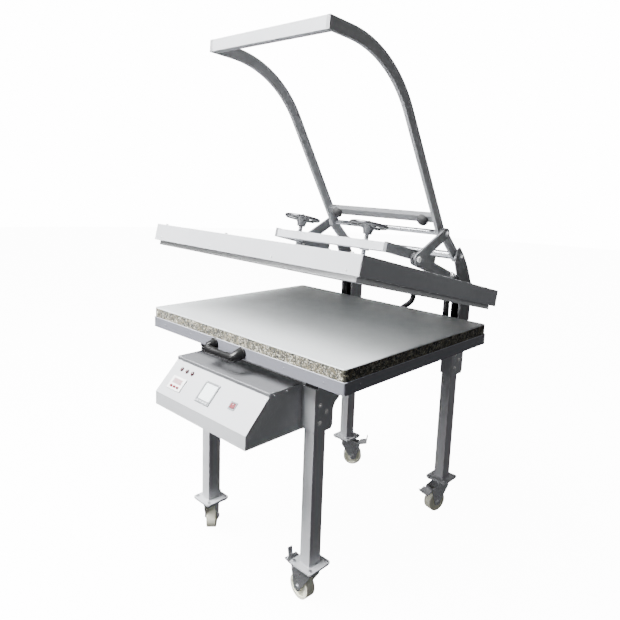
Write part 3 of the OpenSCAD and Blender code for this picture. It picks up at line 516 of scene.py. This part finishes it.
class Piece:
    """One mesh that rides on one body: sizes in millimetres, points in metres."""

    def __init__(self, name, body, look, slot):
        self.name, self.body, self.look, self.slot = name, body, look, slot
        self.bm = bmesh.new()

    def loft(self, rings, closed=False, caps=True):
        rows = [[self.bm.verts.new(p) for p in ring] for ring in rings]
        n = len(rows[0])
        pairs = list(zip(rows, rows[1:])) + ([(rows[-1], rows[0])] if closed else [])
        for a, b in pairs:
            for i in range(n):
                self.bm.faces.new((a[i], a[(i + 1) % n], b[(i + 1) % n], b[i]))
        if caps and not closed:
            self.bm.faces.new(list(reversed(rows[0])))
            self.bm.faces.new(rows[-1])
        return rows

    def lathe(self, at, axis, profile, n=28, turn=0.0):
        """profile holds (radius, height) from the bottom up; n of 6 gives a hexagon."""
        m = Vector(axis).to_track_quat("Z", "Y").to_matrix()
        rings = []
        for r, h in profile:
            ring = []
            for i in range(n):
                a = 2 * math.pi * i / n + turn
                ring.append(at + m @ Vector((r * math.cos(a), r * math.sin(a), h)) / 1000)
            rings.append(ring)
        self.loft(rings)

    def bolt(self, at, axis, r=6.5, washer=True, stub=False, turn=0.3):
        h = 0.0
        if washer:
            self.lathe(at, axis, [(r * 1.35, 0), (r * 1.45, 0.3),
                                  (r * 1.45, 1.3), (r * 1.35, 1.6)])
            h = 1.6
        self.lathe(at, axis, [(r, h), (r, h + r * 0.5), (r * 0.97, h + r * 0.62),
                              (r * 0.8, h + r * 0.7)], 6, turn)
        if stub:
            t = h + r * 0.7
            self.lathe(at, axis, [(r * 0.5, t - 0.5), (r * 0.5, t + r * 0.5),
                                  (r * 0.38, t + r * 0.62)], 16)

    def screw(self, at, axis, r=3.2):
        """Pan head with a round dimple in its middle; no cross recess."""
        self.lathe(at, axis, [(r, 0), (r, r * 0.25), (r * 0.85, r * 0.52), (r * 0.5, r * 0.66),
                              (r * 0.3, r * 0.68), (r * 0.22, r * 0.4)], 20)

    def sweep(self, path, radius, n=10, closed=False, flat=1.0):
        """Tube along points; radius is a number or a function of the point's index."""
        count = len(path)
        rings, side = [], None
        for i, p in enumerate(path):
            a = path[(i - 1) % count] if closed or i > 0 else p
            b = path[(i + 1) % count] if closed or i < count - 1 else p
            d = (b - a).normalized()
            if side is None:
                side = d.orthogonal().normalized()
            side = (side - d * side.dot(d)).normalized()
            up = d.cross(side)
            r = (radius(i) if callable(radius) else radius) / 1000
            rings.append([p + side * (r * math.cos(t)) + up * (r * flat * math.sin(t))
                          for t in (2 * math.pi * k / n for k in range(n))])
        self.loft(rings, closed)

    def plate(self, at, across, up, w, d, t, r=1.5, chamfer=0.5):
        """Rounded rectangle, w across and d up, t thick along across x up, from its middle."""
        out = across.cross(up)
        rings = []
        for inset, h in ((0, 0), (0, t - chamfer), (chamfer, t)):
            ring = []
            for cx, cy, a0 in ((1, 1, 0), (-1, 1, 90), (-1, -1, 180), (1, -1, 270)):
                for k in range(6):
                    a = math.radians(a0 + 18 * k)
                    x = cx * (w / 2 - r) + (r - inset) * math.cos(a)
                    y = cy * (d / 2 - r) + (r - inset) * math.sin(a)
                    ring.append(at + across * (x / 1000) + up * (y / 1000) + out * (h / 1000))
            rings.append(ring)
        self.loft(rings)

    def bead(self, path, r, closed, seed):
        """Weld bead: a rippled, slightly uneven tube along a path."""
        rng = random.Random(seed)
        fine = []
        count = len(path)
        for i in range(count if closed else count - 1):
            a, b = path[i], path[(i + 1) % count]
            steps = max(2, int((b - a).length / 0.0016))
            fine += [a.lerp(b, k / steps) for k in range(steps)]
        if not closed:
            fine.append(path[-1])
        wobble = [1 + 0.16 * math.sin(i * 1.9) + rng.uniform(-0.06, 0.06)
                  for i in range(len(fine))]
        self.sweep(fine, lambda i: r * wobble[i], 8, closed)

    def done(self, angle=35):
        bm = self.bm
        bmesh.ops.recalc_face_normals(bm, faces=bm.faces)
        mesh = bpy.data.meshes.new(self.name)
        bm.to_mesh(mesh)
        bm.free()
        o = bpy.data.objects.new(self.name, mesh)
        bpy.context.scene.collection.objects.link(o)
        mesh.materials.append(M[self.look])
        mesh.shade_smooth()
        mesh.set_sharp_from_angle(angle=math.radians(angle))
        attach(o, self.body)
        return o


def smooth_path(points, per=8):
    """Catmull-Rom points through the given ones."""
    out = []
    for i in range(len(points) - 1):
        p0, p1 = points[max(i - 1, 0)], points[i]
        p2, p3 = points[i + 1], points[min(i + 2, len(points) - 1)]
        for k in range(per):
            t = k / per
            out.append(0.5 * ((2 * p1) + (p2 - p0) * t + (2 * p0 - 5 * p1 + 4 * p2 - p3) * t * t
                              + (3 * p1 - p0 - 3 * p2 + p3) * t ** 3))
    out.append(points[-1])
    return out


def even(path, step):
    """The same path with points a fixed distance apart."""
    out, left = [path[0]], step
    for a, b in zip(path, path[1:]):
        length = (b - a).length
        while left <= length:
            out.append(a.lerp(b, left / length))
            left += step
        left -= length
    return out


def rim(at, w, d, z):
    """Points round a rectangle that is w and d millimetres from its middle."""
    corners = [at(-w, -d, z), at(w, -d, z), at(w, d, z), at(-w, d, z)]
    return around(corners)


def around(corners, per_side=40):
    path = []
    for i, a in enumerate(corners):
        b = corners[(i + 1) % len(corners)]
        path += [a.lerp(b, k / per_side) for k in range(per_side)]
    return path


X, Y, Z = Vector((1, 0, 0)), Vector((0, 1, 0)), Vector((0, 0, 1))


def paint_faces(node, look, test):
    """Gives the faces of a CAD node whose middle passes the test another material."""
    mesh = NODES[node].data
    mesh.materials.append(M[look])
    index = len(mesh.materials) - 1
    for p in mesh.polygons:
        if test(p.center, p.normal):
            p.material_index = index


# ---- foam pad ----

def foam_slab():
    """Rebonded foam cut square: crowned pressed skin on top, ragged chips down the sides."""
    rng = random.Random(11)
    w, d, r = 499.0, 409.0, 14.0
    low, high = 871.0, 911.0
    outline = []
    step = 4.0
    for cx, cy, a0 in ((1, -1, -90), (1, 1, 0), (-1, 1, 90), (-1, -1, 180)):
        for k in range(9):
            a = math.radians(a0 + 90 * k / 8)
            outline.append((cx * (w - r) + r * math.cos(a), cy * (d - r) + r * math.sin(a),
                            math.cos(a), math.sin(a)))
        nx, ny, _, _ = outline[-1]
        a1 = math.radians(a0 + 90)
        ux, uy = -math.sin(a1), math.cos(a1)
        length = 2 * ((d if abs(ux) < 0.5 else w) - r)
        for k in range(1, int(length / step)):
            outline.append((nx + ux * step * k, ny + uy * step * k, math.cos(a1), math.sin(a1)))
    count = len(outline)
    waves = [(rng.uniform(0, 6.28), rng.randint(3, 40), rng.uniform(0.06, 0.25))
             for _ in range(14)]

    def drift(i):
        return sum(a * math.sin(p + f * 2 * math.pi * i / count) for p, f, a in waves)

    piece = Piece("foam_slab", "bed", "foam_skin", "speckled_foam")
    rings = []
    levels = [(0.0, 0.6), (3, 0.1), (8, 0), (13, 0), (18, 0.1), (23, 0), (28, 0.1),
              (32, 0), (35.2, 0.3)]
    for h, inset in levels:
        ring = []
        for i, (x, y, nx, ny) in enumerate(outline):
            ragged = rng.uniform(-0.9, 0.5) if 0 < h else 0
            off = min(0.4, ragged + drift(i) * 0.8 - inset)
            ring.append(P(x + nx * off, y + ny * off,
                          low + h + rng.uniform(-0.5, 0.5) * (h > 0)))
        rings.append(ring)
    # the skin: a thin rounded lip, then a crowned face
    for h, inset in ((36.4, 0.2), (37.8, 0.3), (38.9, 1.2), (39.4, 3.2)):
        ring = []
        for i, (x, y, nx, ny) in enumerate(outline):
            off = -inset + 0.35 * drift(i)
            sag = 0.22 * math.sin(0.021 * x + 1.3) * math.cos(0.017 * y)
            ring.append(P(x + nx * off, y + ny * off, low + h + 0.12 * drift(i + 40) + sag))
        rings.append(ring)
    for s in (0.97, 0.92, 0.85, 0.75, 0.62, 0.48, 0.34, 0.2, 0.08):
        ring = []
        for x, y, nx, ny in outline:
            px, py = x * s, y * s
            sag = 0.22 * math.sin(0.021 * px + 1.3) * math.cos(0.017 * py)
            rise = 0.45 * (1 - s * s)
            ring.append(P(px, py, high - 0.62 + rise + sag * 0.6))
        rings.append(ring)
    rows = piece.loft(rings)
    piece.bm.faces.ensure_lookup_table()
    edge = set()
    for row in rows[:len(levels) + 1]:
        edge.update(row)
    for f in piece.bm.faces:
        if all(v in edge for v in f.verts):
            f.material_index = 1
    o = piece.done(angle=60)
    o.data.materials.append(M["foam_edge"])
    PAD_ONLY.objects.link(o)
    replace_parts(o, "foam_pad")


foam_slab()


# ---- heater conduit ----

def conduit():
    """Ribbed sleeve: its radius runs through six steps, 0.8 mm apart, per rib."""
    route = [(65, 548, 946), (65, 548, 934), (62, 550, 921), (55, 553, 908),
             (44, 556, 896), (31, 560, 886), (17, 564, 877), (2, 569, 867),
             (-11, 574, 857), (-21, 578, 846), (-27, 580, 833), (-30, 580, 820),
             (-30, 580, 806)]
    path = even(smooth_path([P(*p) for p in route]), 0.0008)
    wave = (10.6, 10.7, 11.6, 12.1, 12.1, 11.6)
    piece = Piece("ribbed_conduit", "stand", "sleeve", "cable_sleeve")
    piece.sweep(path, lambda i: wave[i % 6], 24)
    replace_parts(piece.done(angle=80), "heater_cable")


conduit()


# ---- bed ----

def tray_details():
    # the lip beads wear the lighter painted highlight
    lip = Piece("tray_lip", "bed", "lip_painted_highlight", "frame_paint")
    for z, r in ((870.6, 1.7), (834.6, 1.6)):
        lip.sweep(rim(P, 498.2, 408.2, z), r, 8, True)
    lip.done(angle=60)
    rivets = Piece("tray_rivets", "bed", "paint_tray", "zinc")
    head = [(3.4, 0), (3.2, 0.8), (2.2, 1.6), (0.8, 1.9)]
    for x in (-420, -250, 250, 420):
        rivets.lathe(P(x, -409.6, 852), -Y, head, 18)
    for s in (-1, 1):
        for y in (-340, 0, 340):
            rivets.lathe(P(s * 499.6, y, 852), X * s, head, 18)
    rivets.done()


def pull_grip():
    """Moulded bridge handle: flared feet that turn into a thick waisted grip."""
    p = Piece("moulded_pull", "bed", "gloss_black", "black_plastic")
    pts = [(-103, -411, 852), (-103, -418, 850.5), (-103, -428, 847.5),
           (-101.5, -437, 844), (-96, -443, 841.5), (-82, -446, 840.5),
           (-28, -447, 840), (26, -446, 840.5), (40, -443, 841.5), (45.5, -437, 844),
           (47, -428, 847.5), (47, -418, 850.5), (47, -411, 852)]
    path = smooth_path([P(*q) for q in pts], 6)
    n = len(path) - 1

    def radius(i):
        s = min(i, n - i) / 6
        stops = ((0, 19.2), (2, 18.6), (3, 17.8), (4, 16.6), (5, 14.8), (6, 12.6))
        for (a, ra), (b, rb) in zip(stops, stops[1:]):
            if s <= b:
                return ra + (rb - ra) * (s - a) / (b - a)
        return 12.6

    p.sweep(path, radius, 28, flat=0.86)
    for x in (-103, 47):
        p.lathe(P(x, -410, 852), -Y, [(20.4, 0), (20.8, 1.5), (20.2, 3.6), (18.2, 5.4)], 36)
        p.lathe(P(x, -449, 842), -Y, [(5.2, 0), (5.2, 9.6), (4.6, 10.2), (4.4, 9.4),
                                      (0.6, 9.3)], 20)
    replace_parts(p.done(angle=50), "pull_handle")


tray_details()
pull_grip()


# ---- control box ----

def control_details():
    # the lid and its front strip wear the dark painted shade
    lid = Piece("box_lid", "stand", "lid_painted_shade", "frame_paint")
    lid.plate(P(0, -393, 782), X, Y, 496.6, 139, 1.2, 1.2, 0.4)
    lid.plate(P(0, -463.6, 776.4), X, Z, 496.6, 9.6, 1.1, 0.8, 0.3)
    lid.done()
    ears = Piece("box_ears", "stand", "paint", "frame_paint")
    for s in (-1, 1):
        ears.plate(P(s * 248, -392, 774), Y * s, Z, 138, 17, 1.1, 1.5, 0.3)
        ears.plate(P(s * 251.2, -322.5, 704), X, Z, 8.6, 152, 2, 0.8, 0.4)
    ears.done()
    screws = Piece("box_screws", "stand", "zinc", "zinc")
    for s in (-1, 1):
        for y in (-445, -392, -339):
            screws.screw(P(s * 249.1, y, 773), X * s, 3.4)
        for q in (14, 120):
            screws.screw(on_panel(s * 238, q), PANEL_OUT, 2.6)
        for y in (-340, -540):
            screws.screw(P(s * 232, y, 626), -Z, 3.2)
    for x in (-37 + 3.2, 37 - 3.2):
        for q in (-34.6, 34.8):
            screws.screw(on_panel(-3 + x, 68 - q, 3.2), PANEL_OUT, 1.7)
    screws.done()

    glass = Piece("display_screen", "stand", "lcd", "white_plastic")
    glass.plate(on_panel(-3, 65, 1.1), X, PANEL_UP, 60, 56, 1.0, 1.5, 0.3)
    glass.done()
    tabs = Piece("display_keys", "stand", "grey_key", "grey_plastic")
    for k in range(4):
        tabs.plate(on_panel(-3 - 22 + 14.6 * k, 100.2, 3.2), X, PANEL_UP, 9.5, 5.4, 0.9,
                   1.2, 0.3)
    tabs.done()

    rings = Piece("lamp_bezels", "stand", "steel", "polished_steel")
    lens = Piece("lamp_lenses", "stand", "lamp", "red_lens")
    for x in (-190, -159, -127):
        at = on_panel(x, 30, 0.2)
        rings.lathe(at, PANEL_OUT, [(8.6, 0), (8.6, 0.9), (7.9, 1.5), (7.2, 1.5),
                                    (7.0, 0.6)], 32)
        lens.lathe(at, PANEL_OUT, [(6.2, 2.3), (6.0, 3.2), (5.2, 4.4), (3.6, 5.2),
                                   (1.4, 5.6)], 28)
    rings.done()
    lens.done()

    face = Piece("controller_face", "stand", "window", "black_plastic")
    face.plate(on_panel(-168, 74.5, 4.2), X, PANEL_UP, 50, 19, 0.7, 1.5, 0.3)
    face.done()
    # one row of generic seven-bar digits
    digits = Piece("controller_digits", "stand", "led", "red_lens")
    bars = {"a": (0, 1, 0), "b": (1, 0.5, 1), "c": (1, -0.5, 1), "d": (0, -1, 0),
            "e": (-1, -0.5, 1), "f": (-1, 0.5, 1), "g": (0, 0, 0)}
    shapes = {"1": "bc", "8": "abcdefg", "0": "abcdef"}
    for i, ch in enumerate("1800"):
        for b in shapes[ch]:
            bx, by, upright = bars[b]
            at = on_panel(-168 - 16.5 + 11 * i + bx * 2.7, 74.5 - by * 5.2, 4.9)
            w, d = (1.1, 4.2) if upright else (4.2, 1.1)
            digits.plate(at, X, PANEL_UP, w, d, 0.25, 0.4, 0.1)
    digits.done()

    mark = Piece("rocker_marks", "rocker", "white", "white_plastic")
    ring = [on_panel(132, 70 - 4.6, 3.35) + X * (1.8 * math.cos(a) / 1000)
            + PANEL_UP * (1.8 * math.sin(a) / 1000)
            for a in (2 * math.pi * k / 20 for k in range(20))]
    mark.sweep(ring, 0.35, 6, True)
    mark.sweep([on_panel(132, 70 + 4.6 - q, 2.0 + 0.02 * q)
                for q in (-1.8, -0.6, 0.6, 1.8)], 0.4, 6)
    mark.done()


def key_tops():
    for i in (-1, 0, 1):
        p = Piece("key_top_%d" % (i + 2), "key_%d" % (i + 2), "red", "red_plastic")
        p.plate(on_panel(-168 + 18 * i, 95, 5.45), X, PANEL_UP, 11.4, 7.4, 0.7, 1.6, 0.5)
        p.done()


control_details()
key_tops()


# ---- stand ----

LEGS = ((-1, -292), (1, -292), (-1, 541), (1, 541))


def stand_details():
    welds = Piece("frame_welds", "stand", "paint", "frame_paint")
    seed = 3
    for sx, y in LEGS:
        cx = sx * 281
        loop = [P(cx + a * 22.6, y + b * 27.6, 150.8)
                for a, b in ((-1, -1), (1, -1), (1, 1), (-1, 1))]
        welds.bead(loop, 2.3, True, seed)
        seed += 1
    for s in (-1, 1):
        for z in (947, 982):
            welds.bead([P(s * 275.6, 564, z), P(s * 275.6, 596, z)], 2.0, False, seed)
            seed += 1
        welds.bead([P(s * 316.4, 522, 818), P(s * 316.4, 598, 818)], 2.2, False, seed)
        welds.bead([P(s * 259.6, -281, 777), P(s * 259.6, -281, 815)], 2.2, False, seed + 5)
        seed += 1
    welds.done(angle=70)

    bolts = Piece("bracket_bolts", "stand", "zinc_and_painted_glint", "zinc")
    for sx, y in LEGS:
        for dy, z in ((-8, 718), (22, 690), (-8, 658)):
            bolts.bolt(P(sx * 308, y + dy, z), X * sx, 5.6, True, False, 0.2 + dy * 0.03)
    for s in (-1, 1):
        for y in (-150, 60, 270, 480):
            bolts.lathe(P(s * 292, y, 776), -Z, [(6, 0), (6, 2.6), (4.4, 3.8),
                                                 (1.6, 4.2)], 20)
        bolts.bolt(P(s * 330, HINGE_Y, HINGE_Z), X * s, 8, False, False, 0.1)
    bolts.done()

    race = Piece("caster_races", "stand", "zinc", "zinc")
    for sx, y in LEGS:
        at = P(sx * 281, y, 131)
        race.lathe(at, Z, [(30.2, 0), (31.6, 0.8), (32.2, 2.6), (31.6, 4.6),
                           (30.2, 5.6), (28, 6)], 40)
    race.done(angle=60)

    caps = Piece("tube_caps", "stand", "black", "black_plastic")
    for s in (-1, 1):
        caps.plate(P(s * 288, -320.2, 796), X, Z, 53, 37, 2.4, 3, 1.0)
        caps.plate(P(s * 288, 600.2, 796), -X, Z, 53, 37, 2.4, 3, 1.0)
    caps.done()


stand_details()


# ---- handle and linkage ----

def linkage_details():
    pins = Piece("handle_bolts", "handle", "zinc_and_painted_glint", "zinc")
    for s in (-1, 1):
        pins.bolt(P(s * 326.6, 490, 1144), X * s, 7.5, False, False, 0.2)
        pins.bolt(P(s * 316.1, 386, 1241), X * s, 8.0, False, False, 0.5)
    pins.done()
    seams = Piece("handle_welds", "handle", "paint", "frame_paint")
    a = math.radians(-3.8)
    fwd, up = (Vector((0, math.cos(a), math.sin(a))),
               Vector((0, -math.sin(a), math.cos(a))))
    for s in (-1, 1):
        o = P(s * 276, -303, 1880)
        loop = [o + fwd * f + up * u for f, u in (
            (0.002, 0.0196), (0.024, 0.0196), (0.024, -0.0206), (0.002, -0.0206))]
        seams.bead(loop, 1.3, True, 40 + s)
        c = P(s * 276, 353, 1301)
        b = math.radians(31.3)
        f2, u2 = (Vector((0, math.cos(b), math.sin(b))),
                  Vector((0, -math.sin(b), math.cos(b))))
        loop = [c + f2 * (f * 0.0152) + u2 * (u * 0.0152)
                for f, u in ((1, 1), (-1, 1), (-1, -1), (1, -1))]
        seams.bead(loop, 1.7, True, 50 + s)
    seams.done(angle=70)


def platen_details():
    bolts = Piece("cover_screws", "platen", "zinc_and_painted_glint", "zinc")
    for x in (-470, -100, 470):
        bolts.bolt(turned(x, -392, 1009), LIFTED, 4.6, True)
    for x in (-470, -160, 160, 470):
        bolts.bolt(turned(x, 432, 1009), LIFTED, 4.6, True)
        bolts.screw(turned(x, -405, 960), AHEAD, 3.2)
    for x in (-215, -60, 60, 215):
        for y in (10, 38):
            bolts.bolt(turned(x, y, 1021), LIFTED, 6, True, False, 0.15)
    bolts.done()
    hem = Piece("cover_hem", "platen", "cover_painted_light", "frame_paint")
    hem.sweep(around([turned(x, y, 948.2) for x, y in (
        (-517.8, -403.8), (517.8, -403.8), (517.8, 443.8), (-517.8, 443.8))]), 1.2, 8, True)
    hem.done(angle=60)
    sensor = Piece("probe_gland", "platen", "steel", "polished_steel")
    sensor.bolt(turned(300, 60, 1009), LIFTED, 9, True, True)
    sensor.done()


def hinge_clamps():
    """Zinc clamp with its bolts on the outside of each hinge plate."""
    along, up = Vector((0, 0.940, -0.340)), Vector((0, 0.340, 0.940))
    # clamp and bolts wear the near-white zinc with its painted glint
    p = Piece("hinge_clamps", "carrier", "zinc_and_painted_glint", "zinc")
    for s in (-1, 1):
        at = P(s * 301, 470, 1066)
        p.plate(at, along * s, up, 40, 22, 3, 4, 0.8)
        p.bolt(at + along * 0.010 + X * (s * 0.003), X * s, 6.2, True, False, 0.4)
        p.bolt(at - along * 0.009 + X * (s * 0.003), X * s, 7.2, True, False, 0.1)
    p.done()


def wheel_details():
    for side, s in (("left", -1), ("right", 1)):
        body = "wheel_screw_" + side
        at = turned(s * 173, 24, 1100)
        hub = Piece("wheel_hub_" + side, body, "wheel_zinc_painted_shade", "zinc")
        hub.lathe(at, LIFTED, [(15.3, 16), (16.4, 17), (17.5, 24), (20.5, 33),
                               (25.5, 41), (28, 45), (28, 47.5), (25, 48.6),
                               (21, 46.5), (17, 45), (14.5, 50), (13.2, 52.6)], 40)
        hub.lathe(at, LIFTED, [(9.2, 52), (9.2, 58), (8.6, 59.4), (6.6, 60)], 6, 0.3)
        hub.lathe(at, LIFTED, [(6.2, 59.5), (6.0, 62), (4.4, 64.6), (1.6, 65.8)], 20)
        hub.done(angle=40)


linkage_details()
platen_details()
hinge_clamps()
wheel_details()

# the bolts at the links' feet, the uprights' channel insides painted near black as shade, and
# the gas struts' ball studs on the hinge plates; bolts and studs wear zinc with a painted glint
for node in ("link_left", "link_right"):
    paint_faces(node, "zinc_and_painted_glint",
                lambda c, n: abs(c.x) > 0.31205 or abs(c.x) < 0.30195)
paint_faces("uprights", "channel_painted_shade",
            lambda c, n: (0.2805 < abs(c.x) < 0.3112 and c.y < 0.5575
                          and abs(n.y) + abs(n.x) > 0.5))
paint_faces("hinge_plates", "zinc_and_painted_glint", lambda c, n: abs(c.x) < 0.2898)

# --------------------------------------------------------------- shading


def soften(o, width, segments):
    """Rounds a CAD node's hard edges a little and shades its curves smooth.

    Joining flat triangles first keeps creases off big panels. The arms go without it,
    and a dark speckle shows on them all the same.
    """
    weld = o.modifiers.new("weld", "WELD")
    weld.merge_threshold = 0.00002
    if o.name != "handle_arms":
        flat = o.modifiers.new("flat_faces", "DECIMATE")
        flat.decimate_type = "DISSOLVE"
        flat.angle_limit = math.radians(0.3)
    bevel = o.modifiers.new("edges", "BEVEL")
    bevel.width = width
    bevel.segments = segments
    bevel.limit_method = "ANGLE"
    bevel.angle_limit = math.radians(34)
    bevel.use_clamp_overlap = True
    normals = o.modifiers.new("normals", "WEIGHTED_NORMAL")
    normals.mode = "FACE_AREA"
    normals.weight = 100
    normals.thresh = 0.01
    o.data.shade_smooth()


# edge radius in metres and its steps, where they differ from FINE
FINE = (0.0010, 2)
WIDE = {"handle_bar": (0.0105, 6), "crossbeam": (0.0022, 3), "cross_tube": (0.0028, 3),
        "handle_arms": (0.0018, 3), "platen_cover": (0.0016, 3), "legs": (0.0016, 3),
        "control_box": (0.0012, 3)}
for name, o in NODES.items():
    if not o.hide_render:
        soften(o, *WIDE.get(name, FINE))
